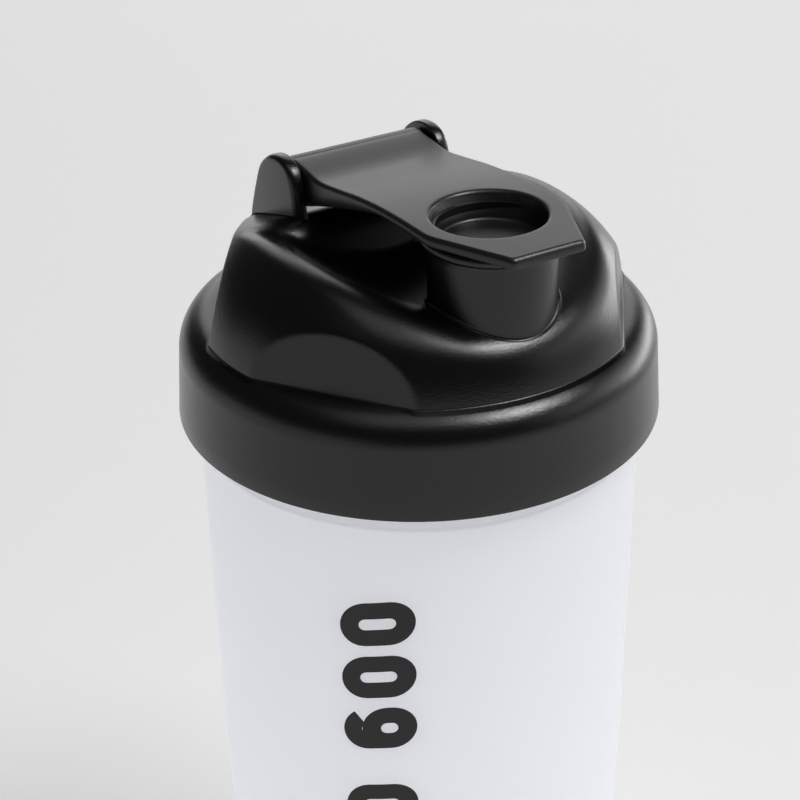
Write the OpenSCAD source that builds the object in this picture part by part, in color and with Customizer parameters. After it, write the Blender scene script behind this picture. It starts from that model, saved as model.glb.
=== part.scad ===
// Protein shaker bottle: cup, screw cap, its spout, flip lever, gasket and mixing grid.
// Origin at the centre of the base. +Z is up, the spout faces -Y, the hinge pin runs along X.

/* [Overall] */
// Height of the skirt's lower edge above the table
lid_z = 163; // [150:1:185]
// Outer radius of the screw cap at its lower edge
cap_r = 50; // [50:0.5:52]
// Wall thickness of the cup
cup_wall = 1.8; // [1.4:0.1:2]

/* [Cup] */
// Outer radius of the cup below its shoulder
cup_r = 45.9; // [45.5:0.1:46.2]
// Outer radius of the cup where the taper ends at the foot
cup_foot_r = 38; // [36:0.5:41]
// Height at which the taper ends and the straight upper wall starts
cup_taper_z = 88; // [70:1:110]
// Radius of the round edge between wall and base
cup_foot_round = 6; // [4:0.5:8]
// Drop from the skirt's lower edge to the shoulder
shoulder_drop = 4; // [3.5:0.1:5]
// Outer radius of the threaded neck
neck_r = 44.4; // [44.2:0.1:44.6]
// Height of the neck's rim above the skirt's lower edge
neck_h = 14.3; // [14.2:0.1:14.4]

/* [Thread] */
// Rise of the cap for one full turn
thread_pitch = 6; // [5.5:0.1:6.5]
// Turns of thread on the neck
neck_turns = 1.25; // [1:0.25:1.5]
// Turns of thread in the cap
cap_turns = 1; // [0.75:0.25:1]
// How far a ridge stands out of its wall
thread_depth = 1.9; // [1.6:0.1:1.9]

/* [Cap] */
// Height of the skirt to the top of its ledge
skirt_h = 21.2; // [21:0.1:22]
// Outer radius of the skirt below its round upper edge
skirt_top_r = 49.1; // [49:0.1:49.5]
// Radius of the skirt's round upper edge
skirt_round = 7.2; // [6:0.1:7.5]
// Inner radius of the skirt
skirt_bore_r = 46.8; // [46.7:0.1:46.9]
// Radius of the dome's level middle
dome_ring = 18; // [16:0.5:20]
// Radius of the dome's round shoulder
dome_r = 27.5; // [27:0.1:28]
// Height of the round shoulder's centre above the skirt's lower edge
dome_z = 16.3; // [16:0.1:16.6]
// Wall thickness of the dome
dome_wall = 2; // [1.6:0.1:2.2]
// Lowest height of the valley floor above the skirt's lower edge
valley_z = 29.3; // [29:0.1:29.6]
// Radius of the valley across the lid
valley_r = 40; // [38:1:42]
// Radius of the valley along the lid
valley_long_r = 205; // [195:5:215]
// Place of the valley's lowest point behind the cap's axis
valley_y = 10; // [6:1:14]
// Top edge of the wall that closes the valley: distance behind the cap's axis
stop_y = 14.7; // [14:0.1:15.5]
// Height of that top edge above the skirt's lower edge
stop_z = 39.3; // [39:0.1:39.6]
// Backward lean of that wall in degrees
stop_lean = 33.7; // [30:0.1:36]
// Height of the sloping roof, that carries the ears, at the top edge of that wall
roof_z = 39.3; // [39:0.1:39.6]
// Fall of the roof to the back in degrees
roof_fall = 17.7; // [16:0.1:19]
// Distance of the front grip facets from the axis at the ledge
facet_d = 41.9; // [41.7:0.1:42.3]
// Inward lean of the front grip facets in degrees
facet_lean = 8.8; // [8:0.1:10]
// Distance of the back grip facets from the axis at the ledge
back_facet_d = 39.8; // [39.6:0.1:41]
// Inward lean of the back grip facets in degrees
back_facet_lean = 9.6; // [8:0.1:10]
// Direction of the grip facets, in degrees from the front and from the back
facet_turn = 53.8; // [50:0.1:58]

/* [Spout] */
// Distance of the spout's axis in front of the cap's axis
spout_y = 27.8; // [27:0.1:28.5]
// Outer radius of the spout
spout_r = 12.5; // [12.3:0.1:12.8]
// Radius of the spout's bore
spout_bore_r = 11.35; // [11.3:0.01:11.4]
// Height of the spout's foot, inside the dome, above the skirt's lower edge
spout_foot_z = 28.6; // [28.4:0.1:28.8]
// Height of the spout's rim above the skirt's lower edge
spout_z = 48.5; // [48:0.1:48.6]
// How far the round lip stands out of the spout
lip_out = 1.75; // [1.5:0.05:2]
// Radius of the round lip
lip_round = 1.25; // [1:0.05:1.4]

/* [Hinge] */
// Distance of the hinge axis behind the cap's axis
hinge_y = 24.3; // [24:0.1:24.6]
// Height of the hinge axis above the skirt's lower edge
hinge_z = 43.2; // [43:0.1:43.5]
// Radius of the lever's barrel
barrel_r = 4.8; // [4.6:0.1:4.9]
// Radius of the stub pins on the barrel's ends
stub_r = 2.4; // [2:0.1:2.6]
// Running clearance of the stub pins in their sockets
stub_gap = 0.05; // [0.02:0.01:0.08]
// Radius of the round front of the ears' tops
ear_r = 6.3; // [6.2:0.1:6.4]
// Radius of the longer curve over the ears' backs
ear_back_r = 10.5; // [10.4:0.1:10.6]
// Outer half width across the ears
ear_out = 18.9; // [18.8:0.1:19.4]
// Inner half width between the ears
ear_in = 16; // [15.9:0.1:16.1]

/* [Lever] */
// Half width of the lever's plate
lever_w = 15.6; // [15.2:0.1:15.6]
// Half width of the lever's straight tip
tip_w = 8; // [7:0.5:9]
// Distance of the tip in front of the cap's axis
tip_y = 46.4; // [45:0.1:48]
// Distance of the shoulders, where the plate starts to narrow, in front of the cap's axis
lever_shoulder_y = 29; // [27:0.5:31]
// Height of the plate's level top above the skirt's lower edge
lever_z = 51.1; // [51:0.1:51.4]
// Thickness of the plate
lever_t = 2.2; // [2:0.1:2.3]
// Radius of the arch between plate and barrel
lever_arch_r = 150; // [148:1:152]
// Distance, in front of the cap's axis, where the arch starts
lever_arch_y = 24; // [22:1:25]
// Outer radius of the plug
plug_r = 11; // [10.9:0.05:11.05]
// Depth of the plug below the plate's top
plug_h = 7.3; // [7:0.1:7.6]
// Radius of the recess in the plug
recess_r = 9.9; // [9.6:0.1:9.9]
// Depth of the recess
recess_h = 5.5; // [5:0.1:5.6]
// Distance of the recess's axis in front of the cap's axis
recess_y = 27.2; // [27.1:0.1:27.8]
// Radius of the opening above the recess
brim_r = 11; // [10.8:0.1:11.1]
// Radius of the opening's round edge
brim_round = 1.1; // [0.8:0.1:1.2]
// Distance of the opening's axis in front of the cap's axis
brim_y = 26.3; // [26.2:0.1:27]

/* [Gasket and grid] */
// Thickness of the gasket
gasket_t = 2; // [1.9:0.05:2]
// Inner radius of the gasket
gasket_in_r = 41.4; // [41:0.1:42]
// Thickness of the grid's flange
flange_t = 1; // [0.9:0.05:1]
// Distance between the grid's bars
grid_pitch = 8; // [7:0.5:9]
// Width of the grid's bars
bar_w = 1.8; // [1.4:0.1:2.2]
// Thickness of the grid's bars
bar_t = 1.6; // [1.4:0.1:1.8]

/* [Hidden] */
$fn = 144;
eps = 0.01;
spout_seam = 0.03;
side_gap = 0.4;
thread_root = 2.4;
thread_tip = 1.2;
thread_bite = 0.4;
thread_step = 10;
neck_thread_z = 2.6;
neck_thread_start = 5;
cap_thread_start = 155;
seat_z = neck_h + flange_t + gasket_t;
base_t = 2;
foot_ring = 5;
foot_recess = 0.8;
neck_in_r = neck_r - cup_wall;
shoulder_z = lid_z - shoulder_drop;
cavity_r = 38.8;
upper_lean = 0.7;
wall_lean = cup_r - upper_lean - cup_foot_r;
socket_x = ear_out - 0.8;
stub_x = socket_x - 0.2;
ledge_in = 1.2;
block = 60;
ear_c = [-1, -0.3];
ear_back_c = [-0.4, -4.7];
ear_front = [[-11, -14.2], [-9.7, -9.7], [-8.5, -5.2], [-7.9, -2.2]];
ear_back = [[8.5, 0.4], [9.7, -2.3], [11, -5.4], [12.4, -9.3], [13.4, -13.2], [13.9, -16.2]];
root_top = [[-12.1, 3.85], [-9.3, 3.9], [-6.3, 4.25], [-3.3, 4.6], [0, 4.8]];
root_under = [[0, -4.8], [-3.8, -4.4], [-7.2, -3.3], [-10.9, -1.9], [-14.8, -0.6], [-18.8, 0.7], [-22.8, 1.9],
    [-27.4, 3.2], [-32.3, 4.6], [-36.7, 5.5], [-42.3, 5.7]];
arch_reach = 33;

// Points on an arc from angle a0 to a1 about c
function arc(c, r, a0, a1, n) = [for (i = [0:n]) let (a = a0 + (a1 - a0) * i / n)
    [c[0] + r * cos(a), c[1] + r * sin(a)]];

// Outline of the cup's wall on one side, inset by t, from the foot up to the taper's end
function taper_points(t) = [for (i = [0:12]) let (z = cup_foot_round + (cup_taper_z - cup_foot_round) * i / 12,
    d = cup_taper_z - z) [cup_r - upper_lean - t - wall_lean * pow(d / (cup_taper_z - cup_foot_round), 2), z]];

// Profile of the cup's outside, from the axis at the base to the neck's rim
module cup_outline() {
    foot_c = [cup_foot_r - cup_foot_round, cup_foot_round];
    polygon(concat(
        [[0, 0]],
        arc(foot_c, cup_foot_round, -90, 0, 12),
        taper_points(0),
        [[cup_r, shoulder_z - 1], [cup_r - 0.3, shoulder_z], [neck_r, shoulder_z + 1.2],
         [neck_r, lid_z + neck_h], [0, lid_z + neck_h]]));
}

// Profile of the space inside the cup
module cup_space() {
    foot_c = [cup_foot_r - cup_foot_round, cup_foot_round];
    polygon(concat(
        [[0, base_t]],
        arc(foot_c, cup_foot_round - cup_wall, -75, 0, 10),
        taper_points(cup_wall),
        [[cup_r - cup_wall, shoulder_z - 2], [neck_in_r, shoulder_z],
         [neck_in_r, lid_z + neck_h + 1], [0, lid_z + neck_h + 1]]));
}

// Helical ridge with a trapezoid section, from the root radius to the tip radius.
// It starts at the angle start, on the helix that passes the angle 0 at the height 0.
module thread_ridge(root_r, tip_r, turns, start) {
    steps = round(turns * 360 / thread_step);
    pts = [for (i = [0:steps]) let (
            a = start + i * thread_step,
            fade = min(1, (i + 1) / 4, (steps - i + 1) / 4),
            tip = root_r + (tip_r - root_r) * fade,
            z = thread_pitch * a / 360)
        for (q = [[root_r, -thread_root / 2], [tip, -thread_tip / 2], [tip, thread_tip / 2], [root_r, thread_root / 2]])
            [q[0] * cos(a), q[0] * sin(a), z + q[1]]];
    out = tip_r > root_r;
    sides = [for (i = [0:steps - 1]) for (k = [0:3]) let (
            a = 4 * i + k, b = 4 * i + (k + 1) % 4, c = a + 4, d = b + 4)
        each [[a, d, b], [a, c, d]]];
    ends = [[0, 1, 2], [0, 2, 3], [4 * steps, 4 * steps + 2, 4 * steps + 1], [4 * steps, 4 * steps + 3, 4 * steps + 2]];
    faces = concat(sides, ends);
    polyhedron(pts, out ? [for (f = faces) [f[2], f[1], f[0]]] : faces, convexity = 10);
}

// Translucent cup with threaded neck
module cup() {
    color([0.90, 0.91, 0.92, 0.6]) {
        difference() {
            rotate_extrude() cup_outline();
            rotate_extrude() cup_space();
            translate([0, 0, -eps])
                cylinder(h = foot_recess + eps, r = cup_foot_r - cup_foot_round - foot_ring);
        }
        translate([0, 0, lid_z + neck_thread_z])
            thread_ridge(neck_r - thread_bite, neck_r + thread_depth, neck_turns, neck_thread_start);
    }
}

// Block behind the plane through the valley's back edge, moved back by extra
module stop_block(extra) {
    translate([0, stop_y, stop_z])
        rotate([-stop_lean, 0, 0])
            translate([-block, extra, -block])
                cube(2 * block);
}

// The space of the valley along the lid, larger by extra: a big ring, closed at the back by a leaning wall
module valley(extra) {
    difference() {
        translate([0, valley_y, valley_z + valley_long_r])
            rotate([0, 90, 0])
                rotate([0, 0, -14])
                    rotate_extrude(angle = 28, $fn = 720)
                        translate([valley_long_r - valley_r, 0])
                            circle(r = valley_r + extra, $fn = 180);
        stop_block(extra);
    }
}

// The space above the sloping roof, lower by extra
module above_roof(extra) {
    translate([0, stop_y, roof_z])
        rotate([-roof_fall, 0, 0])
            translate([-block, -block, -extra])
                cube(2 * block);
}

// One flat grip facet, as the block that it cuts off the dome, nearer to the axis by extra
module facet_cut(turn, distance, lean, extra) {
    rotate([0, 0, turn])
        translate([0, extra - distance, skirt_h - ledge_in])
            rotate([-lean, 0, 0])
                translate([-block / 2, -block, -block / 2])
                    cube(block);
}

// All that is taken off the round dome: facets, roof and valley, each nearer by extra
module dome_cuts(extra) {
    for (turn = [facet_turn, -facet_turn]) facet_cut(turn, facet_d, facet_lean, extra);
    for (turn = [180 - facet_turn, facet_turn - 180]) facet_cut(turn, back_facet_d, back_facet_lean, extra);
    above_roof(extra);
    valley(extra);
}

// Half section of the round dome, smaller by extra, from the height low up
module dome_section(extra, low) {
    intersection() {
        translate([0, low]) square([dome_ring + dome_r, dome_r + dome_z - low]);
        union() {
            translate([0, dome_z]) square([dome_ring, dome_r - extra]);
            translate([dome_ring, dome_z]) circle(r = dome_r - extra);
        }
    }
}

// Dome with its grip facets, roof and valley
module dome_outside() {
    difference() {
        rotate_extrude() dome_section(0, dome_z);
        dome_cuts(0);
    }
}

// Space under the dome
module dome_inside() {
    difference() {
        intersection() {
            rotate_extrude() dome_section(dome_wall, dome_z);
            translate([0, 0, dome_z]) cylinder(h = block, r = cavity_r);
        }
        dome_cuts(dome_wall);
    }
}

// Skirt as a solid of revolution, with its round upper edge
module skirt() {
    rotate_extrude()
        union() {
            polygon([[0, 0], [cap_r - 0.4, 0], [cap_r, 0.4], [skirt_top_r, skirt_h - skirt_round],
                     [skirt_top_r - skirt_round, skirt_h - skirt_round],
                     [skirt_top_r - skirt_round, skirt_h], [0, skirt_h]]);
            translate([skirt_top_r - skirt_round, skirt_h - skirt_round])
                intersection() {
                    circle(r = skirt_round);
                    square(skirt_round);
                }
        }
}

// Spout of the cap: straight tube with a round lip, standing in the dome's hole
module cap_spout() {
    color([0.07, 0.07, 0.08])
        translate([0, -spout_y, lid_z])
            difference() {
                union() {
                    translate([0, 0, spout_foot_z]) cylinder(h = spout_z - spout_foot_z, r = spout_r);
                    translate([0, 0, spout_z - lip_round])
                        rotate_extrude()
                            translate([spout_r + lip_out - lip_round, 0]) circle(r = lip_round, $fn = 48);
                }
                translate([0, 0, spout_foot_z - 1])
                    cylinder(h = spout_z, r = spout_bore_r);
            }
}

// One ear with its blind socket, on the side given by s
module ear(s) {
    difference() {
        translate([s > 0 ? ear_in : -ear_out, hinge_y, hinge_z])
            rotate([90, 0, 90])
                linear_extrude(height = ear_out - ear_in)
                    polygon(concat(ear_front, arc(ear_c, ear_r, 168, 98, 10), arc(ear_back_c, ear_back_r, 94, 44, 10), ear_back));
        translate([s > 0 ? ear_in - 1 : -socket_x, hinge_y, hinge_z])
            rotate([0, 90, 0])
                cylinder(h = socket_x - ear_in + 1, r = stub_r + stub_gap);
    }
}

// Black screw cap: skirt, dome with the hole for the spout, and ears
module screw_cap() {
    color([0.07, 0.07, 0.08])
        translate([0, 0, lid_z]) {
            difference() {
                union() {
                    skirt();
                    dome_outside();
                    for (s = [-1, 1]) ear(s);
                }
                translate([0, 0, -1]) cylinder(h = seat_z + 1, r = skirt_bore_r);
                dome_inside();
                translate([0, -spout_y, dome_z])
                    cylinder(h = spout_z, r = spout_r + spout_seam);
            }
            translate([0, 0, neck_thread_z - thread_pitch / 2])
                thread_ridge(skirt_bore_r + thread_bite, skirt_bore_r - thread_depth, cap_turns, cap_thread_start);
        }
}

// Side outline of the lever: arched plate that runs into the barrel, y forward to the left
module lever_side() {
    arch_c = [-lever_arch_y, lever_z - lever_arch_r];
    hinge = [hinge_y, hinge_z];
    polygon(concat(
        [[-tip_y, lever_z - lever_t], [-tip_y, lever_z]],
        arc(arch_c, lever_arch_r, 90, acos(arch_reach / lever_arch_r), 16),
        [for (p = root_top) hinge + p],
        [for (p = root_under) hinge + p]));
    translate(hinge) circle(r = barrel_r);
}

// Outline of the lever from above
module lever_plan() {
    corner_r = 8;
    lean = atan2(lever_w - tip_w, tip_y - lever_shoulder_y);
    back = corner_r * tan(lean / 2);
    side = concat(
        [[lever_w, hinge_y + barrel_r + 1]],
        arc([lever_w - corner_r, -lever_shoulder_y + back], corner_r, 0, -lean, 6),
        [[tip_w, -tip_y]]);
    polygon(concat(side, [for (i = [len(side) - 1:-1:0]) [-side[i][0], side[i][1]]]));
}

// Recess in the plug with the round edge of its opening, as the space to be removed
module recess() {
    translate([0, -recess_y, lever_z - recess_h]) cylinder(h = recess_h + 1, r = recess_r);
    translate([0, -brim_y, lever_z - brim_round])
        rotate_extrude()
            difference() {
                square([brim_r + brim_round, brim_round + 1]);
                translate([brim_r + brim_round, 0]) circle(r = brim_round, $fn = 64);
            }
}

// Black flip lever: barrel with stub pins, arched plate and hollow plug
module flip_lever() {
    color([0.09, 0.09, 0.10])
        translate([0, 0, lid_z])
            difference() {
                union() {
                    intersection() {
                        translate([-lever_w, 0, 0])
                            rotate([90, 0, 90])
                                linear_extrude(height = 2 * lever_w) lever_side();
                        translate([0, 0, hinge_z - 10]) linear_extrude(height = 30) lever_plan();
                    }
                    translate([-stub_x, hinge_y, hinge_z])
                        rotate([0, 90, 0])
                            cylinder(h = 2 * stub_x, r = stub_r);
                    translate([0, -spout_y, lever_z - plug_h])
                        cylinder(h = plug_h - lever_t + 1, r = plug_r);
                }
                recess();
            }
}

// Silicone ring between the grid's flange and the cap's seat
module cap_gasket() {
    color([0.80, 0.80, 0.82])
        translate([0, 0, lid_z + neck_h + flange_t])
            difference() {
                cylinder(h = gasket_t, r = skirt_bore_r - side_gap);
                translate([0, 0, -1]) cylinder(h = gasket_t + 2, r = gasket_in_r);
            }
}

// Mixing grid: flange on the neck's rim, locating ring and crossed bars
module mixing_grid() {
    ring_r = neck_in_r - 0.3;
    ring_t = 1.4;
    ring_h = 3;
    bars = floor(ring_r / grid_pitch);
    color([0.92, 0.92, 0.92])
        translate([0, 0, lid_z + neck_h]) {
            difference() {
                union() {
                    cylinder(h = flange_t, r = neck_r - 0.2);
                    translate([0, 0, flange_t - ring_h]) cylinder(h = ring_h, r = ring_r);
                }
                translate([0, 0, flange_t - ring_h - 1]) cylinder(h = ring_h + 2, r = ring_r - ring_t);
            }
            intersection() {
                translate([0, 0, flange_t - bar_t]) cylinder(h = bar_t, r = ring_r - ring_t / 2);
                union()
                    for (i = [-bars:bars], turn = [0, 90])
                        rotate([0, 0, turn])
                            translate([i * grid_pitch - bar_w / 2, -ring_r, flange_t - bar_t])
                                cube([bar_w, 2 * ring_r, bar_t]);
            }
        }
}

cup();
screw_cap();
cap_spout();
flip_lever();
cap_gasket();
mixing_grid();
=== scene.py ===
"""Looks for the shaker bottle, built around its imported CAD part."""

import math

import bpy
import numpy as np
from mathutils import Matrix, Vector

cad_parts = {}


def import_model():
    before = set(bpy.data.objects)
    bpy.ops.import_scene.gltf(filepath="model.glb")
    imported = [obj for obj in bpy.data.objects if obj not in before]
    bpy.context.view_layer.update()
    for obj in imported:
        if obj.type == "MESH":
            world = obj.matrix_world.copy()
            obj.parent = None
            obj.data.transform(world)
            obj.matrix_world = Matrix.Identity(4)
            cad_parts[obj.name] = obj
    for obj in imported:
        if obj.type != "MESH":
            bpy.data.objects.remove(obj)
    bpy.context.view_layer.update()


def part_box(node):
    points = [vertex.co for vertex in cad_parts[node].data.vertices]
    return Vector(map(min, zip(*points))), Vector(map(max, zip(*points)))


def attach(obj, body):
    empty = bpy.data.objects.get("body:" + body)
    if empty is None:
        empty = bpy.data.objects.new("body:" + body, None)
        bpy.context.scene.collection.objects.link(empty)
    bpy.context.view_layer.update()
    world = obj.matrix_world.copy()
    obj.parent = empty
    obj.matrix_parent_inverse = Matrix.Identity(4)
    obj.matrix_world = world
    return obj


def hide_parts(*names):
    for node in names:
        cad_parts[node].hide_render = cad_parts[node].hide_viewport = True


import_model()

MM = 0.001
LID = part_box("screw_cap")[0][2] / MM    # height of the skirt's lower edge, mm

# ---------------------------------------------------------------- helpers


class Solid:
    """Islands gathered into one mesh, with a normal for every face corner.

    Lengths are in mm. Heights are above z0, by default the skirt's lower edge.
    """

    def __init__(self, z0=LID):
        self.z0, self.verts, self.faces, self.normals = z0, [], [], []

    def add(self, verts, faces, angle=32.0, vertex_normals=None):
        verts = np.asarray(verts, float)
        if enclosed(verts, faces) < 0:
            faces = [tuple(reversed(f)) for f in faces]
        mesh = bpy.data.meshes.new("island")
        mesh.from_pydata(verts.tolist(), [], [list(map(int, f)) for f in faces])
        mesh.update()
        mesh.polygons.foreach_set("use_smooth", [True] * len(mesh.polygons))
        mesh.set_sharp_from_angle(angle=math.radians(angle))
        corner = np.zeros(len(mesh.loops) * 3, np.float32)
        mesh.corner_normals.foreach_get("vector", corner)
        corner = corner.reshape(-1, 3)
        if vertex_normals is not None:
            index = np.zeros(len(mesh.loops), np.int32)
            mesh.loops.foreach_get("vertex_index", index)
            given = np.asarray(vertex_normals, float)[index]
            keep = np.linalg.norm(given, axis=1) > 0.5
            corner[keep] = given[keep]
        bpy.data.meshes.remove(mesh)
        base = len(self.verts)
        self.verts.extend(verts.tolist())
        self.faces.extend([[int(i) + base for i in f] for f in faces])
        self.normals.extend(corner.tolist())
        return self

    def build(self, name, material, body, nodes=()):
        mesh = bpy.data.meshes.new(name)
        co = np.array(self.verts, float)
        co[:, 2] += self.z0
        mesh.from_pydata((co * MM).tolist(), [], self.faces)
        mesh.update()
        mesh.polygons.foreach_set("use_smooth", [True] * len(mesh.polygons))
        mesh.normals_split_custom_set(self.normals)
        mesh.materials.append(material)
        piece = bpy.data.objects.new(name, mesh)
        bpy.context.scene.collection.objects.link(piece)
        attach(piece, body)
        if nodes:
            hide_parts(*nodes)
        return piece


def enclosed(verts, faces):
    """Signed volume inside a closed island: below zero if its faces look inwards."""
    corners = np.array([(f[0], f[i], f[i + 1]) for f in faces for i in range(1, len(f) - 1)])
    a, b, c = (verts[corners[:, k]] for k in range(3))
    return float(np.einsum("ij,ij->i", a, np.cross(b, c)).sum()) / 6


def grid_faces(rows, cols, wrap_rows=False):
    """Quads of a grid whose columns close into a ring."""
    faces = []
    last = rows if wrap_rows else rows - 1
    for i in range(last):
        a, b = i * cols, ((i + 1) % rows) * cols
        for j in range(cols):
            k = (j + 1) % cols
            faces.append((a + j, a + k, b + k, b + j))
    return faces


def end_faces(rows, cols):
    """The two faces that close the first and the last row of a grid."""
    return [tuple(reversed(range(cols))), tuple(range((rows - 1) * cols, rows * cols))]


def turned_rows(profile, steps):
    """One ring of points about the axis for each (radius, height) of the profile."""
    angle = np.arange(steps) * 2 * math.pi / steps
    rings = [np.stack([r * np.cos(angle), r * np.sin(angle), np.full(steps, z)], 1) for r, z in profile]
    return np.concatenate(rings)


def lathe(profile, steps):
    """Ring of a closed (radius, height) profile, given so that its outside is on the right going up."""
    return turned_rows(profile, steps), grid_faces(len(profile), steps, wrap_rows=True)


def lathe_capped(profile, steps):
    """As lathe, but the profile starts and ends on the axis."""
    inner = profile[1:-1]
    verts = turned_rows(inner, steps)
    faces = grid_faces(len(inner), steps)
    low, high = len(verts), len(verts) + 1
    verts = np.vstack([verts, [[0, 0, profile[0][1]], [0, 0, profile[-1][1]]]])
    top = (len(inner) - 1) * steps
    for j in range(steps):
        k = (j + 1) % steps
        faces.append((low, k, j))
        faces.append((high, top + j, top + k))
    return verts, faces


def arc(cx, cz, r, a0, a1, n):
    """Points on an arc, angles in degrees."""
    t = np.radians(np.linspace(a0, a1, n + 1))
    return [(cx + r * math.cos(x), cz + r * math.sin(x)) for x in t]


def smax(a, b, k):
    """The larger of two fields, with an edge rounded over the width k."""
    h = np.maximum(k - np.abs(a - b), 0.0)
    return np.maximum(a, b) + h * h / (4 * k)


# ---------------------------------------------------------------- materials


def new_material(name):
    material = bpy.data.materials.new(name)
    material.use_nodes = True
    tree = material.node_tree
    tree.nodes.clear()
    out = tree.nodes.new("ShaderNodeOutputMaterial")
    shader = tree.nodes.new("ShaderNodeBsdfPrincipled")
    tree.links.new(shader.outputs[0], out.inputs[0])
    return material, tree, shader, out


def noise(tree, scale, detail, rough=0.5):
    coord = tree.nodes.new("ShaderNodeTexCoord")
    tex = tree.nodes.new("ShaderNodeTexNoise")
    tex.inputs["Scale"].default_value = scale
    tex.inputs["Detail"].default_value = detail
    tex.inputs["Roughness"].default_value = rough
    tree.links.new(coord.outputs["Object"], tex.inputs["Vector"])
    return tex


def ramp(tree, source, low, high):
    node = tree.nodes.new("ShaderNodeMapRange")
    node.inputs["To Min"].default_value = low
    node.inputs["To Max"].default_value = high
    tree.links.new(source, node.inputs["Value"])
    return node.outputs["Result"]


def fine_grain(tree, shader, source, strength):
    """Bump of the moulded surface's grain."""
    bump = tree.nodes.new("ShaderNodeBump")
    bump.inputs["Strength"].default_value = strength
    bump.inputs["Distance"].default_value = 0.0002
    tree.links.new(source.outputs["Fac"], bump.inputs["Height"])
    tree.links.new(bump.outputs["Normal"], shader.inputs["Normal"])


def plastic(name, colour, rough, grain, grain_size, spread=0.03):
    """Moulded plastic: even colour, a fine grain and slight changes of gloss."""
    material, tree, shader, _ = new_material(name)
    shader.inputs["Base Color"].default_value = (*colour, 1)
    shader.inputs["IOR"].default_value = 1.5
    fine = noise(tree, grain_size, 3.0, 0.6)
    cloud = noise(tree, 34.0, 2.0)
    gloss = ramp(tree, cloud.outputs["Fac"], rough - spread, rough + spread)
    tree.links.new(gloss, shader.inputs["Roughness"])
    fine_grain(tree, shader, fine, grain)
    return material


BLACK = plastic("black_plastic", (0.0030, 0.0034, 0.0035), 0.24, 0.30, 2600.0)
LEVER = plastic("lever_plastic", (0.0066, 0.0064, 0.0082), 0.37, 0.12, 2200.0)
WHITE = plastic("white_plastic", (0.78, 0.79, 0.80), 0.42, 0.10, 1800.0)
SILICONE = plastic("silicone", (0.62, 0.63, 0.65), 0.55, 0.12, 1500.0)
INK = plastic("ink", (0.009, 0.0085, 0.011), 0.55, 0.05, 1500.0)


def milky():
    """Frosted polypropylene: lets light through, blurs what is behind it, slightly cloudy; it also glows a
    little, painted light that brightens the whole cup.
    """
    material, tree, shader, out = new_material("milky_polypropylene")
    shader.inputs["Base Color"].default_value = (0.93, 0.935, 0.95, 1)
    shader.inputs["IOR"].default_value = 1.49
    shader.inputs["Roughness"].default_value = 0.38
    through = tree.nodes.new("ShaderNodeBsdfTranslucent")
    through.inputs["Color"].default_value = (0.96, 0.965, 0.98, 1)
    # painted light: a faint even glow in the cup's surface makes it brighter than the lamps alone would
    shader.inputs["Emission Color"].default_value = (0.96, 0.97, 1.0, 1)
    shader.inputs["Emission Strength"].default_value = 0.26
    mix = tree.nodes.new("ShaderNodeMixShader")
    cloud = noise(tree, 16.0, 2.0)
    tree.links.new(ramp(tree, cloud.outputs["Fac"], 0.42, 0.52), mix.inputs["Fac"])
    tree.links.new(shader.outputs[0], mix.inputs[1])
    tree.links.new(through.outputs[0], mix.inputs[2])
    tree.links.new(mix.outputs[0], out.inputs[0])
    fine_grain(tree, shader, noise(tree, 900.0, 2.0), 0.08)
    return material


MILKY = milky()

# ---------------------------------------------------------------- cap: dome and spout

SPOUT_Y = 27.8
SPOUT_R = 12.5
BORE_R = 11.35
SPOUT_FILLET = 0.7
DOME_RING, DOME_Z, DOME_R = 18.0, 16.3, 27.5
VALLEY_R, VALLEY_LONG, VALLEY_Y, VALLEY_Z = 40.0, 205.0, 10.0, 29.3
LEDGE_Z, SKIRT_Z = 20.2, 21.2           # hidden lower end of the dome, top of the skirt
INNER_END_Z = 17.4                      # lower end of the dome's inner wall
FOOT = 0.3                              # radius of the fillet round the dome's foot
FACET_Z = 20.0
FRONT_FACET = (53.8, 41.9, 8.8)         # direction, distance and lean of the flat facets
BACK_FACET = (126.2, 39.8, 9.6)
ROOF = (14.0, 39.5, 0.32)               # place, height and fall of the sloping roof that carries the ears
STOP = (14.7, 39.3, 1.5)                # top edge and steepness of the wall that closes the valley
RIDGE_K, EDGE_K, ROOF_K, STOP_K = 5.4, 0.35, 1.6, 1.6   # widths of the rounded edges
RIDGE_SOFTER = 3.4                      # wider rounding of the ridge in front of the spout
WALL = 2.0
RAY_Z = -60.0                           # height from which the rays that find the dome start


def step(x, a, b):
    """Smooth rise from 0 at a to 1 at b."""
    t = np.clip((x - a) / (b - a), 0.0, 1.0)
    return t * t * (3 - 2 * t)


def cap_field(p, grow=0.0):
    """Signed field of the dome with its facets, roof and valley; below zero inside."""
    x, y, z = p[..., 0], p[..., 1], p[..., 2]
    rr = np.maximum(np.hypot(x, y) - DOME_RING, 0.0)
    f = np.hypot(rr, np.maximum(z - DOME_Z, 0.0)) - DOME_R
    for turn, dist, lean in (FRONT_FACET, BACK_FACET):
        for side in (-1, 1):
            a, b = math.radians(turn), math.radians(lean)
            h = x * side * math.sin(a) - y * math.cos(a)
            f = smax(f, (h - dist) * math.cos(b) + (z - FACET_Z) * math.sin(b), EDGE_K)
    f = smax(f, (z - ROOF[1] + ROOF[2] * (y - ROOF[0])) / math.hypot(1, ROOF[2]), ROOF_K)
    q = np.hypot(y - VALLEY_Y, z - VALLEY_Z - VALLEY_LONG)
    valley = VALLEY_R - np.hypot(x, q - (VALLEY_LONG - VALLEY_R))
    wall = (z - STOP[1] - STOP[2] * (y - STOP[0])) / math.hypot(1, STOP[2])
    k = RIDGE_K + RIDGE_SOFTER * step(-y, 14.0, 36.0)
    return smax(f, -smax(-valley, -wall, STOP_K), k) + grow


def gradient(p, e=0.02):
    """Outward normals of the field."""
    g = np.stack([cap_field(p + np.eye(3)[i] * e) - cap_field(p - np.eye(3)[i] * e) for i in range(3)], -1)
    return g / np.linalg.norm(g, axis=-1, keepdims=True)


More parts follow.
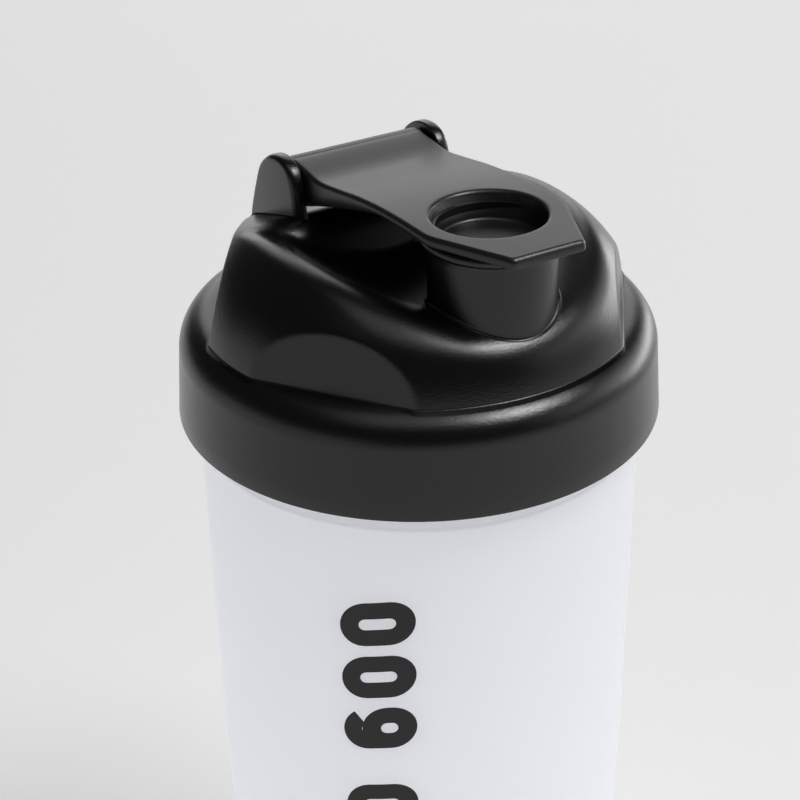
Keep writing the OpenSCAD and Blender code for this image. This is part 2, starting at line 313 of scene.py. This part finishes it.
def shoot(origin, direction, grow, far=95.0):
    """Where each ray meets the field's zero; grow moves the zero inwards."""
    lo = np.zeros(direction.shape[:-1])
    hi = np.full(direction.shape[:-1], far)
    for _ in range(34):
        mid = (lo + hi) / 2
        inside = cap_field(origin + direction * mid[..., None], grow) < 0
        lo, hi = np.where(inside, mid, lo), np.where(inside, hi, mid)
    return origin + direction * ((lo + hi) / 2)[..., None]


def plan_height(x, y, grow=0.0):
    """Height of the dome over plan points."""
    p = np.stack([x, y, np.full_like(x, 14.0)], -1)
    up = np.zeros_like(p)
    up[..., 2] = 1
    return shoot(p, up, grow, 34.0)[..., 2]


def even_rows(rows, at):
    """The columns of the rows resampled at the given fractions of each column's length."""
    rows = np.array(rows)
    run = np.cumsum(np.linalg.norm(np.diff(rows, axis=0), axis=2), axis=0)
    run = np.vstack([np.zeros((1, run.shape[1])), run / run[-1]])
    columns = [[np.interp(at, run[:, j], rows[:, j, k]) for k in range(3)] for j in range(rows.shape[1])]
    return np.stack(columns).transpose(2, 0, 1)


def dome_and_spout(solid):
    """One closed skin: dome from its hidden lower end up to the spout, over the lip and down inside."""
    steps, rings, coarse = 720, 190, 380
    angle = np.arange(steps) * 2 * math.pi / steps
    out = np.stack([np.cos(angle), np.sin(angle)], -1)
    origin = np.array([0.0, -SPOUT_Y, RAY_Z])

    def ring_points(psi, grow):
        d = np.stack([out[:, 0] * np.cos(psi), out[:, 1] * np.cos(psi), np.sin(psi)], -1)
        return shoot(origin, d, grow, 130.0)

    def end_angle(height, grow):
        """Elevation of the rays that meet the field at the given height."""
        level = np.column_stack([out, np.zeros(steps)])
        reach = shoot(np.array([0.0, -SPOUT_Y, height]), level, grow)
        return np.arctan2(height - origin[2], np.hypot(reach[:, 0], reach[:, 1] + SPOUT_Y))

    psi0 = end_angle(LEDGE_Z, 0.0)
    r0 = SPOUT_R + SPOUT_FILLET
    z0 = plan_height(out[:, 0] * r0, out[:, 1] * r0 - SPOUT_Y)
    psi1 = np.arctan2(z0 - origin[2], r0)
    dense = [ring_points(psi0 + (psi1 - psi0) * i / coarse, 0.0) for i in range(coarse + 1)]
    # close rows near the foot, wider ones above
    foot_rows, foot_part = 24, 0.055
    row = np.linspace(0, 1, rings + 1) * rings
    above = foot_part + (1 - foot_part) * (row - foot_rows) / (rings - foot_rows)
    t = np.where(row < foot_rows, row * foot_part / foot_rows, above)
    rows, normals = [], []
    for p in even_rows(dense, t):
        n = gradient(p)
        p = p - n * cap_field(p)[:, None]
        foot = np.clip((SKIRT_Z + FOOT - p[:, 2]) / FOOT, 0, 1)[:, None]
        side = n * [1, 1, 0]
        side /= np.linalg.norm(side, axis=1, keepdims=True)
        rows.append(p + side * FOOT * (1 - np.sqrt(1 - foot ** 2)))
        turned = n * np.sqrt(1 - foot ** 2) + np.array([0, 0, 1]) * foot
        normals.append(turned / np.linalg.norm(turned, axis=1, keepdims=True))
    rows[-1][:, 2] = z0
    # fillet up to the spout's wall
    for t in np.linspace(0, 90, 6)[1:]:
        s = math.radians(t)
        r = SPOUT_R + SPOUT_FILLET * (1 - math.sin(s))
        z = z0 + SPOUT_FILLET * (1 - math.cos(s))
        rows.append(np.stack([out[:, 0] * r, out[:, 1] * r - SPOUT_Y, z], -1))
        n = np.stack([out[:, 0] * math.sin(s), out[:, 1] * math.sin(s), np.full(steps, math.cos(s))], -1)
        normals.append(n)
    lip = [(SPOUT_R, 44.6)] + arc(SPOUT_R + 0.35, 45.9, 0.35, 180, 90, 3)
    lip += arc(13.0, 47.3, 1.25, -80, 90, 10)
    lip += arc(BORE_R + 0.5, 48.05, 0.5, 90, 180, 4) + [(BORE_R, 47.0), (BORE_R, 30.0)]
    for r, z in lip:
        rows.append(np.stack([out[:, 0] * r, out[:, 1] * r - SPOUT_Y, np.full(steps, z)], -1))
        normals.append(np.zeros((steps, 3)))
    z_in = plan_height(out[:, 0] * BORE_R, out[:, 1] * BORE_R - SPOUT_Y, WALL)
    rows.append(np.stack([out[:, 0] * BORE_R, out[:, 1] * BORE_R - SPOUT_Y, z_in], -1))
    normals.append(np.zeros((steps, 3)))
    # inside of the dome
    psi2 = np.arctan2(z_in - origin[2], BORE_R)
    psi3 = end_angle(INNER_END_Z, WALL)
    inner = 60
    for i in range(1, inner + 1):
        rows.append(ring_points(psi2 + (psi3 - psi2) * i / inner, WALL))
        normals.append(np.zeros((steps, 3)))
    verts = np.concatenate(rows)
    solid.add(verts, grid_faces(len(rows), steps, wrap_rows=True), 40, np.concatenate(normals))


def skirt(solid):
    top_r, top_z, rnd = 49.1, 21.2, 7.2
    bore, seat, hole = 46.8, 17.35, 38.8
    outline = [(47.15, 0.0)] + arc(49.65, 0.35, 0.35, -90, -3, 4) + [(49.75, 4.0), (49.45, 9.0)]
    outline += arc(top_r - rnd, top_z - rnd, rnd, 0, 90, 26)
    outline += [(40.0, top_z), (hole, top_z), (hole, seat), (bore, seat), (bore, 0.35)]
    verts, faces = lathe(outline, 320)
    solid.add(verts, faces, 30)


def ridge_thread(root, tip, turns, start, pitch=6.0, z=0.0, steps_per_turn=72):
    """Helical ridge with a rounded section."""
    n = int(round(turns * steps_per_turn))
    half = [(1.0, 0.3), (0.85, 0.6), (0.35, 0.95), (0.0, 1.25)]
    section = [(s, -h) for s, h in reversed(half)] + half
    rows = []
    for i in range(n + 1):
        a = math.radians(start) + i * 2 * math.pi / steps_per_turn
        fade = min(1.0, (i + 0.5) / 12, (n - i + 0.5) / 12)
        for s, h in section:
            r = root + (tip - root) * s * fade
            rows.append((r * math.cos(a), r * math.sin(a), z + pitch * a / (2 * math.pi) + h))
    m = len(section)
    return np.array(rows), grid_faces(n + 1, m) + end_faces(n + 1, m)


# ---------------------------------------------------------------- cap: ears

EAR_OUT, EAR_IN = 18.9, 16.0
HINGE_Y, HINGE_Z = 24.3, 43.2
# an ear's outline from its foot at the back over the round top to its foot at the front
EAR_OUTLINE = [(37.7, 30.0), (36.7, 33.9), (35.3, 37.8), (34.0, 40.9), (32.8, 43.6), (31.6, 45.4),
               (29.9, 46.9), (27.6, 48.3), (25.0, 49.1), (22.4, 49.2), (20.0, 48.5), (18.2, 46.9),
               (17.1, 44.3), (16.4, 41.0), (15.8, 38.0)]


def resample(line, n, closing=True):
    """Points spaced evenly along an open plan line, with or without its last point."""
    s = np.concatenate([[0], np.cumsum(np.linalg.norm(np.diff(line, axis=0), axis=1))])
    at = np.linspace(0, s[-1], n, endpoint=closing)
    return np.stack([np.interp(at, s, line[:, k]) for k in range(2)], 1)


def smooth_line(points, n):
    """Evenly spaced points on a Catmull-Rom curve through the given ones."""
    p = np.asarray(points, float)
    ext = np.vstack([2 * p[0] - p[1], p, 2 * p[-1] - p[-2]])
    fine = []
    for i in range(1, len(ext) - 2):
        t = np.linspace(0, 1, 12, endpoint=False)[:, None]
        a, b, c, d = ext[i - 1], ext[i], ext[i + 1], ext[i + 2]
        bend_2, bend_3 = 2 * a - 5 * b + 4 * c - d, 3 * b - a - 3 * c + d
        fine.append(0.5 * (2 * b + (c - a) * t + bend_2 * t ** 2 + bend_3 * t ** 3))
    return resample(np.vstack(fine + [p[-1:]]), n)


def inset(line, amount):
    """Closed plan line moved inwards by the amount."""
    d = np.roll(line, -1, 0) - np.roll(line, 1, 0)
    n = np.stack([-d[:, 1], d[:, 0]], 1) / np.linalg.norm(d, axis=1)[:, None]
    area = np.sum(line[:, 0] * np.roll(line[:, 1], -1) - np.roll(line[:, 0], -1) * line[:, 1])
    return line + n * (amount if area > 0 else -amount)


def slab(line, levels):
    """Closed solid from a plan line: levels are (inset, third coordinate) from one face to the other."""
    rows = [np.column_stack([inset(line, i), np.full(len(line), x)]) for i, x in levels]
    n = len(line)
    return np.concatenate(rows), grid_faces(len(rows), n) + end_faces(len(rows), n)


def ear(solid, side):
    line = smooth_line(EAR_OUTLINE, 120)
    base_y = np.linspace(EAR_OUTLINE[-1][0] - 0.3, EAR_OUTLINE[0][0] + 0.3, 24)
    deep = 1.2
    base = np.column_stack([base_y, plan_height(np.full(24, EAR_OUT), base_y) - deep])
    line = np.vstack([line, base])
    rnd_out, rnd_in = 1.3, 0.4
    levels = [(rnd_in * (1 - math.sin(t)), EAR_IN + rnd_in * (1 - math.cos(t)))
              for t in np.linspace(0, math.pi / 2, 4)]
    levels += [(rnd_out * (1 - math.sin(t)), EAR_OUT - rnd_out * (1 - math.cos(t)))
               for t in np.linspace(math.pi / 2, 0, 7)]
    verts, faces = slab(line, levels)
    verts = np.column_stack([verts[:, 2] * side, verts[:, 0], verts[:, 1]])
    solid.add(verts, faces, 35)


def build_cap():
    solid = Solid()
    dome_and_spout(solid)
    skirt(solid)
    for side in (-1, 1):
        ear(solid, side)
    verts, faces = ridge_thread(47.0, 44.9, 1.0, 155.0, z=-0.4)
    solid.add(verts, faces)
    return solid.build("screw_cap_shell", BLACK, "cap", ("screw_cap", "cap_spout"))


# ---------------------------------------------------------------- lever

PLATE_Z = 51.1
HALF_W, TIP_W, TIP_Y, SHOULDER_Y = 15.6, 8.0, 46.4, 29.0
CROWN = 0.25                            # how far the plate's long edges lie below its middle
CHAMFER = 0.85                          # width of the plate's soft edge
HOLE = (-26.3, 11.0)                    # centre and radius of the opening in the plate
FLOOR = (-27.2, 9.9, 45.6)              # centre, radius and height of the recess's floor
PLUG_R, PLUG_LOW = 11.0, 43.8           # radius and lower end of the plug
LEAST_THICK = 1.5                       # of the plate
BARREL_R, STUB_R, STUB_END = 4.8, 2.4, 17.9

# the lever's side view, front to back: its top and its underside
TOP_LINE = smooth_line([(-52.0, 51.1), (-36.0, 51.1), (-24.0, 51.05), (-17.0, 50.85), (-10.0, 50.4),
                        (-2.0, 49.45), (4.7, 48.25), (9.0, 47.45), (12.2, 47.05), (15.0, 47.1),
                        (18.0, 47.45), (21.0, 47.8), (24.3, 48.0), (28.0, 48.0)], 500)
UNDER_LINE = smooth_line([(-52.0, 48.9), (-30.0, 48.9), (-18.0, 48.9), (-12.4, 48.65), (-8.0, 47.8),
                          (-3.1, 46.4), (1.5, 45.1), (5.5, 43.9), (9.5, 42.6), (13.4, 41.3),
                          (17.1, 39.9), (20.5, 38.8), (24.3, 38.4), (28.0, 38.4)], 400)


def plate_top(x, y):
    return np.interp(y, TOP_LINE[:, 0], TOP_LINE[:, 1]) - CROWN * (x / HALF_W) ** 2 * step(-y, -12.0, 0.0)


def plate_under(y):
    return np.interp(y, UNDER_LINE[:, 0], UNDER_LINE[:, 1])


def plate_outline(n):
    """Rounded plan line of the plate, from its tip corner round to the barrel and back."""
    right = [(TIP_W - 0.5, -TIP_Y), (TIP_W + 0.15, -TIP_Y + 0.5)]
    lean = math.atan2(HALF_W - TIP_W, TIP_Y - SHOULDER_Y)
    corner = 9.0
    cy = -SHOULDER_Y + corner * math.tan(lean / 2)
    for t in np.linspace(-lean, 0, 7):
        right.append((HALF_W - corner + corner * math.cos(t), cy + corner * math.sin(t)))
    right += [(HALF_W, HINGE_Y)]
    left = [(-x, y) for x, y in reversed(right)]
    return resample(np.array(right + left + right[:1]), n, closing=False)


def lever_plate(solid):
    """One closed skin: recess floor, its wall and brim, plate top, edge, underside and plug."""
    n = 480
    rim = plate_outline(n)
    angle = np.arctan2(rim[:, 1] + SPOUT_Y, rim[:, 0])
    unit = np.stack([np.cos(angle), np.sin(angle)], 1)
    rows = []

    def circle(cy, r, z):
        rows.append(np.column_stack([unit[:, 0] * r, unit[:, 1] * r + cy, np.full(n, z)]))

    fy, fr, fz = FLOOR
    hy, hr = HOLE
    for r in (0.3, 2.0, 4.5, 6.5):
        circle(fy, r, fz)
    for r, z in arc(fr - 0.8, fz + 0.8, 0.8, -90, 0, 5):
        circle(fy, r, z)
    brim = 1.1
    wall = [0.25, 0.5, 0.75, 1.0]
    z_wall = PLATE_Z - brim
    for t in wall:
        circle(fy + (hy - fy) * t, fr + (hr - fr) * t, fz + 0.8 + (z_wall - fz - 0.8) * t)
    for t in np.linspace(0, math.pi / 2, 8)[1:]:
        r, z = hr + brim * (1 - math.cos(t)), z_wall + brim * math.sin(t)
        rows.append(np.column_stack([unit[:, 0] * r, unit[:, 1] * r + hy, np.full(n, z)]))
        rows[-1][:, 2] += plate_top(rows[-1][:, 0], rows[-1][:, 1]) - PLATE_Z
    edge = rows[-1][:, :2]
    last = inset(rim, CHAMFER)
    for t in np.linspace(0, 1, 26)[1:]:
        xy = edge + (last - edge) * t
        rows.append(np.column_stack([xy, plate_top(xy[:, 0], xy[:, 1])]))
    top = plate_top(last[:, 0], last[:, 1])
    for ins, drop in ((0.62, 0.06), (0.3, 0.3), (0.08, 0.62), (0.0, 0.95)):
        rows.append(np.column_stack([inset(rim, ins), top - drop]))
    under = np.minimum(plate_under(rim[:, 1]), top - LEAST_THICK)
    for ins, rise in ((0.0, 0.3), (0.1, 0.1), (0.35, 0.0)):
        rows.append(np.column_stack([inset(rim, ins), under + rise]))
    low = rows[-1][:, :2]
    plug_edge = np.column_stack([unit[:, 0] * PLUG_R, unit[:, 1] * PLUG_R - SPOUT_Y])
    for t in np.linspace(0, 1, 20)[1:]:
        xy = low + (plug_edge - low) * t
        rows.append(np.column_stack([xy, plate_under(xy[:, 1])]))
    plug = [(PLUG_R, 47.0)] + arc(PLUG_R - 0.6, PLUG_LOW + 0.6, 0.6, 0, -90, 4)
    plug += [(r, PLUG_LOW) for r in (6.0, 2.0, 0.3)]
    for r, z in plug:
        circle(-SPOUT_Y, r, z)
    solid.add(np.concatenate(rows), grid_faces(len(rows), n) + end_faces(len(rows), n), 34)


def x_lathe(profile, steps, y, z):
    """Closed solid of revolution about a line along X; profile is (x, radius), its ends on the line."""
    verts, faces = lathe_capped([(r, x) for x, r in profile], steps)
    return verts[:, [2, 0, 1]] + [0.0, y, z], faces


def build_lever():
    solid = Solid()
    lever_plate(solid)
    rnd = 0.9
    end = [(HALF_W - rnd + rnd * math.sin(t), BARREL_R - rnd + rnd * math.cos(t))
           for t in np.linspace(0, math.pi / 2, 7)]
    stub = [(HALF_W, STUB_R), (17.6, STUB_R), (STUB_END, STUB_R - 0.3)]
    half = end + stub
    profile = [(-STUB_END, 0.0)] + [(-x, r) for x, r in reversed(half)] + half + [(STUB_END, 0.0)]
    verts, faces = x_lathe(profile, 128, HINGE_Y, HINGE_Z)
    solid.add(verts, faces, 30)
    return solid.build("flip_lever_moulding", LEVER, "lever", ("flip_lever",))


# ---------------------------------------------------------------- cup, gasket and grid


TAPER_Z, BODY_R, FOOT_R, FOOT_RND = 88.0, 45.2, 38.0, 6.0   # end of the taper, radii there and at the foot
LEAN, LEAN_RUN = 0.7, 70.0              # how much wider the cup gets above TAPER_Z, and over what height


def cup_radius(z):
    """Outer radius of the cup's wall at a height above the table."""
    straight = BODY_R + (z - TAPER_Z) / LEAN_RUN * LEAN
    drop = np.clip((TAPER_Z - z) / (TAPER_Z - FOOT_RND), 0, 1)
    return np.where(z >= TAPER_Z, straight, BODY_R - (BODY_R - FOOT_R) * drop ** 2)


def build_cup():
    solid = Solid(0.0)
    wall, foot_r, rnd, r_up = 1.8, FOOT_R, FOOT_RND, 45.9
    neck_r, rim_z, shoulder = 44.4, LID + 14.3, LID - 4.0

    def taper(off, n):
        z = np.linspace(rnd, TAPER_Z, n)
        return list(zip(cup_radius(z) - off, z))

    outside = [(0.0, 0.8), (26.0, 0.8), (26.6, 0.6), (27.0, 0.05), (27.4, 0.0)]
    outside += arc(foot_r - rnd, rnd, rnd, -90, 0, 14) + taper(0, 30)[1:]
    outside += [(r_up, shoulder - 1.4)] + arc(r_up - 0.7, shoulder - 1.0, 0.7, 0, 62, 5)
    outside += [(neck_r + 0.5, shoulder + 0.85)] + arc(neck_r + 0.45, shoulder + 1.3, 0.45, 250, 180, 3)
    outside += arc(neck_r - 0.5, rim_z - 0.5, 0.5, 0, 90, 3)
    inside = arc(neck_r - wall + 0.5, rim_z - 0.5, 0.5, 90, 180, 3)
    inside += [(neck_r - wall, shoulder), (r_up - wall, shoulder - 2.2)]
    inside += list(reversed(taper(wall, 30)))[:-1]
    inside += arc(foot_r - rnd, rnd, rnd - wall, 0, -78, 10) + [(24.0, 2.0), (0.0, 2.0)]
    verts, faces = lathe_capped(outside + inside, 288)
    solid.add(verts, faces, 28)
    verts, faces = ridge_thread(neck_r - 0.4, neck_r + 1.9, 1.25, 5.0, z=LID + 2.6)
    solid.add(verts, faces)
    return solid.build("cup_shell", MILKY, "cup", ("cup",))


# ---------------------------------------------------------------- print: a plain capacity scale

PRINT_TURN = -42.0                      # direction of the print's middle, degrees from the front
DIGIT_H, DIGIT_W, STROKE, SLANT = 15.4, 10.4, 3.9, -0.18
INK_LIFT, PRINT_R = 0.02, 45.6          # ink above the cup's face, radius that the digits bend round
STROKE_LIFT = 0.006                     # more for each further stroke, so that crossing strokes don't flicker
STROKE_STEPS = 72


def bend(cx, cy, r, a0, a1, n=14):
    """Arc of a digit's centre line, in mm."""
    t = np.radians(np.linspace(a0, a1, n))
    return [(cx + r * math.cos(x), cy + r * math.sin(x)) for x in t]


def digit_lines(d):
    """Centre lines of a digit, in mm, in a box DIGIT_W by DIGIT_H less the stroke."""
    w, h = DIGIT_W - STROKE, DIGIT_H - STROKE
    r = w / 2
    oval = bend(r, h - r, r, 0, 180) + bend(r, r, r, 180, 360)
    bowl = bend(r, r + 1.0, r, 0, 180) + bend(r, r, r, 180, 360)
    return {
        "0": [oval + oval[:1]],
        "2": [bend(r, h - r, r, 170, -28) + [(0.1, 0.0), (w + 0.3, 0.0)]],
        "4": [[(0.76 * w, -STROKE / 2), (0.76 * w, h + 0.4), (-0.2, 0.27 * h), (w + 1.2, 0.27 * h)]],
        "6": [bowl + bowl[:1], bend(r, h - r, r, 30, 180) + [(0.0, r + 0.5)]],
    }[d]


def ribbon(line, width, closed, columns=7):
    """The line widened to a band: one row of points across it for each place along it."""
    p = np.asarray(line, float)
    d = np.gradient(p, axis=0)
    if closed:
        d[0] = d[-1] = p[1] - p[-2]
    n = np.stack([-d[:, 1], d[:, 0]], 1) / np.linalg.norm(d, axis=1)[:, None]
    return p[:, None, :] + n[:, None, :] * (np.linspace(0.5, -0.5, columns) * width)[None, :, None]


def build_print():
    """Three numbers that read upwards along the cup, each stroke a thin closed band on its face."""
    solid = Solid(0.0)
    run = []
    gap, word = 2.6, 7.0
    top = 143.2
    pos = top - DIGIT_W / 2 - STROKE / 2
    for number in ("600", "400", "200"):
        for ch in reversed(number):
            run.append((ch, pos))
            pos -= DIGIT_W + gap
        pos -= word
    layer = 0
    for ch, at in run:
        for line in digit_lines(ch):
            line = np.asarray(line, float)
            closed = np.linalg.norm(line[0] - line[-1]) < 1e-6
            line = resample(line, STROKE_STEPS)
            band = ribbon(line - [(DIGIT_W - STROKE) / 2, (DIGIT_H - STROKE) / 2], STROKE, closed)
            band[..., 0] += SLANT * band[..., 1]
            if closed:
                band = band[:-1]
            over = INK_LIFT + STROKE_LIFT * (layer % 3)
            layer += 1
            sides = []
            for flat, lift in ((band, over), (band[:, ::-1], -INK_LIFT)):
                z = at + flat[..., 0]
                r = cup_radius(z) + lift
                turn = math.radians(PRINT_TURN) - flat[..., 1] / PRINT_R
                sides.append(np.stack([r * np.sin(turn), -r * np.cos(turn), z], -1))
            rows = np.concatenate(sides, axis=1)
            m = rows.shape[1]
            verts = rows.reshape(-1, 3)
            faces = grid_faces(len(rows), m, wrap_rows=closed)
            if not closed:
                faces += end_faces(len(rows), m)
            solid.add(verts, faces, 40)
    return solid.build("capacity_print", INK, "cup")


def build_gasket():
    solid = Solid()
    inner, outer, low, high, rnd = 41.4, 46.4, 15.3, 17.3, 0.5
    outline = arc(outer - rnd, low + rnd, rnd, -90, 0, 5)
    outline += [(outer, 16.1), (outer - 0.15, 16.3), (outer, 16.5)]
    outline += arc(outer - rnd, high - rnd, rnd, 0, 90, 5) + arc(inner + rnd, high - rnd, rnd, 90, 180, 5)
    outline += arc(inner + rnd, low + rnd, rnd, 180, 270, 5)
    verts, faces = lathe(outline, 240)
    solid.add(verts, faces, 40)
    return solid.build("gasket_ring", SILICONE, "sleeve", ("cap_gasket",))


def build_grid():
    solid = Solid()
    ring, low, high, flange_r = 42.3, 12.3, 15.3, 44.2
    outline = [(ring - 1.2, low)] + arc(ring - 0.3, low + 0.3, 0.3, -90, 0, 3)
    outline += [(ring, high - 1.0), (flange_r - 0.2, high - 1.0)]
    outline += arc(flange_r - 0.25, high - 0.75, 0.25, -60, 0, 3)
    outline += arc(flange_r - 0.25, high - 0.25, 0.25, 0, 90, 3)
    outline += [(ring - 1.4, high), (ring - 1.4, low + 0.2)]
    verts, faces = lathe(outline, 240)
    solid.add(verts, faces, 40)
    inner = ring - 1.0
    pitch, half, top, bottom, rnd = 8.0, 0.9, high, high - 1.6, 0.3
    for turn in (0, 1):
        for i in range(-5, 6):
            off = i * pitch
            reach = math.sqrt(inner ** 2 - off ** 2)
            shift = 0.004 * turn
            section = [(off - half, bottom + rnd), (off - half + rnd, bottom),
                       (off + half - rnd, bottom), (off + half, bottom + rnd),
                       (off + half, top - rnd), (off + half - rnd, top - shift),
                       (off - half + rnd, top - shift), (off - half, top - rnd)]
            rows = [(x, s * reach, z) for s in (-1, 1) for x, z in section]
            if turn:
                rows = [(-y, x, z) for x, y, z in rows]
            faces = [(k, (k + 1) % 8, 8 + (k + 1) % 8, 8 + k) for k in range(8)]
            solid.add(rows, faces + end_faces(2, 8), 30)
    return solid.build("mixing_grid_moulding", WHITE, "sleeve", ("mixing_grid",))


build_cap()
build_lever()
build_cup()
build_print()
build_gasket()
build_grid()

# ---------------------------------------------------------------- stage, light and camera


def stage_piece(name, verts, faces, material):
    mesh = bpy.data.meshes.new(name)
    mesh.from_pydata(verts, [], faces)
    mesh.materials.append(material)
    piece = bpy.data.objects.new(name, mesh)
    bpy.context.scene.collection.objects.link(piece)


def table_paint():
    """Matt white that glows a little, so the table stays pale where the object shades it."""
    material, _, shader, _ = new_material("floor")
    shader.inputs["Base Color"].default_value = (0.74, 0.74, 0.745, 1)
    shader.inputs["Roughness"].default_value = 0.9
    shader.inputs["Specular IOR Level"].default_value = 0.1
    shader.inputs["Emission Color"].default_value = (1, 1, 1, 1)
    shader.inputs["Emission Strength"].default_value = 0.40
    return material


def floor(paint):
    side = 4.0
    corners = [(-side, -side, 0), (side, -side, 0), (side, side, 0), (-side, side, 0)]
    stage_piece("floor", corners, [(0, 1, 2, 3)], paint)


def backdrop(name, paint, turn_from, turn_to, high):
    """Low pale wall behind the object, as the sweep of a studio table; turns in degrees from the back."""
    radius, steps = 3.6, 24
    turn = np.radians(np.linspace(turn_from, turn_to, steps))
    verts = [(radius * math.sin(t), radius * math.cos(t), z) for z in (0.0, high) for t in turn]
    faces = [(i, i + 1, steps + i + 1, steps + i) for i in range(steps - 1)]
    stage_piece(name, verts, faces, paint)


def softbox(name, place, target, size, power, diffuse=True):
    """Area light facing its target; without diffuse it shows only in reflections and gloss."""
    data = bpy.data.lights.new(name, "AREA")
    data.shape = "RECTANGLE"
    data.size, data.size_y = size
    data.energy = power
    lamp = bpy.data.objects.new(name, data)
    lamp.location = place
    way = np.array(place, float) - np.array(target, float)
    way /= np.linalg.norm(way)
    side = np.cross([0, 0, 1], way)
    side /= np.linalg.norm(side)
    up = np.cross(way, side)
    lamp.rotation_euler = Matrix(np.column_stack([side, up, way]).tolist()).to_euler()
    lamp.visible_diffuse = diffuse
    bpy.context.scene.collection.objects.link(lamp)


def world(strength):
    w = bpy.data.worlds.new("studio")
    w.use_nodes = True
    w.node_tree.nodes["Background"].inputs["Color"].default_value = (1, 1, 1, 1)
    w.node_tree.nodes["Background"].inputs["Strength"].default_value = strength
    bpy.context.scene.world = w


def camera():
    """The photograph's view: towards the skirt's lower edge, then turned off it by pan, tilt and roll."""
    azimuth, elevation = math.radians(-31.0), math.radians(29.0351)
    pan, tilt, roll = 0.0096285, -0.0032913, -0.0119983
    distance = 0.4090138
    level = math.cos(elevation)
    back = np.array([math.sin(azimuth) * level, -math.cos(azimuth) * level, math.sin(elevation)])
    right = np.array([math.cos(azimuth), math.sin(azimuth), 0.0])
    axes = np.array([right, np.cross(back, right), back])
    p = np.array([[math.cos(pan), 0, -math.sin(pan)], [0, 1, 0], [math.sin(pan), 0, math.cos(pan)]])
    t = np.array([[1, 0, 0], [0, math.cos(tilt), math.sin(tilt)], [0, -math.sin(tilt), math.cos(tilt)]])
    q = np.array([[math.cos(roll), math.sin(roll), 0], [-math.sin(roll), math.cos(roll), 0], [0, 0, 1]])
    turn = (q @ t @ p @ axes).T
    data = bpy.data.cameras.new("camera")
    data.lens, data.sensor_width = 87.75, 36.0
    data.clip_start = 0.01
    piece = bpy.data.objects.new("camera", data)
    place = back * distance + np.array([0, 0, LID * MM])
    piece.matrix_world = Matrix([[*turn[i], place[i]] for i in range(3)] + [[0, 0, 0, 1]])
    bpy.context.scene.collection.objects.link(piece)
    bpy.context.scene.camera = piece


PAINT = table_paint()
floor(PAINT)
world(0.05)
softbox("key", (0.57, -0.66, 1.52), (0, 0, 0.18), (0.56, 0.56), 8.0)
softbox("key_gloss", (0.56, -0.64, 1.48), (0, 0, 0.18), (0.50, 0.50), 11.0, diffuse=False)
softbox("fill", (1.72, -0.90, 0.98), (0, 0, 0.18), (2.3, 1.2), 3.0)
softbox("fill_low", (1.74, -0.92, 0.70), (0, 0, 0.18), (2.3, 0.8), 3.0, diffuse=False)
softbox("fill_gloss", (1.80, -0.20, 0.62), (0, 0, 0.18), (1.3, 0.9), 3.0, diffuse=False)
softbox("right", (1.65, 0.28, 0.22), (0, 0, 0.18), (1.1, 0.36), 6.5, diffuse=False)
softbox("back", (0.96, 1.59, 0.98), (0, 0, 0.18), (1.7, 1.35), 10.0)
softbox("top", (-0.25, -0.35, 1.85), (0, 0.01, 0.15), (1.2, 1.2), 3.6)
backdrop("sweep_left", PAINT, -125, -46, 0.62)
backdrop("sweep_back", PAINT, 5, 62, 0.78)
camera()
bpy.context.scene.view_settings.view_transform = "Standard"
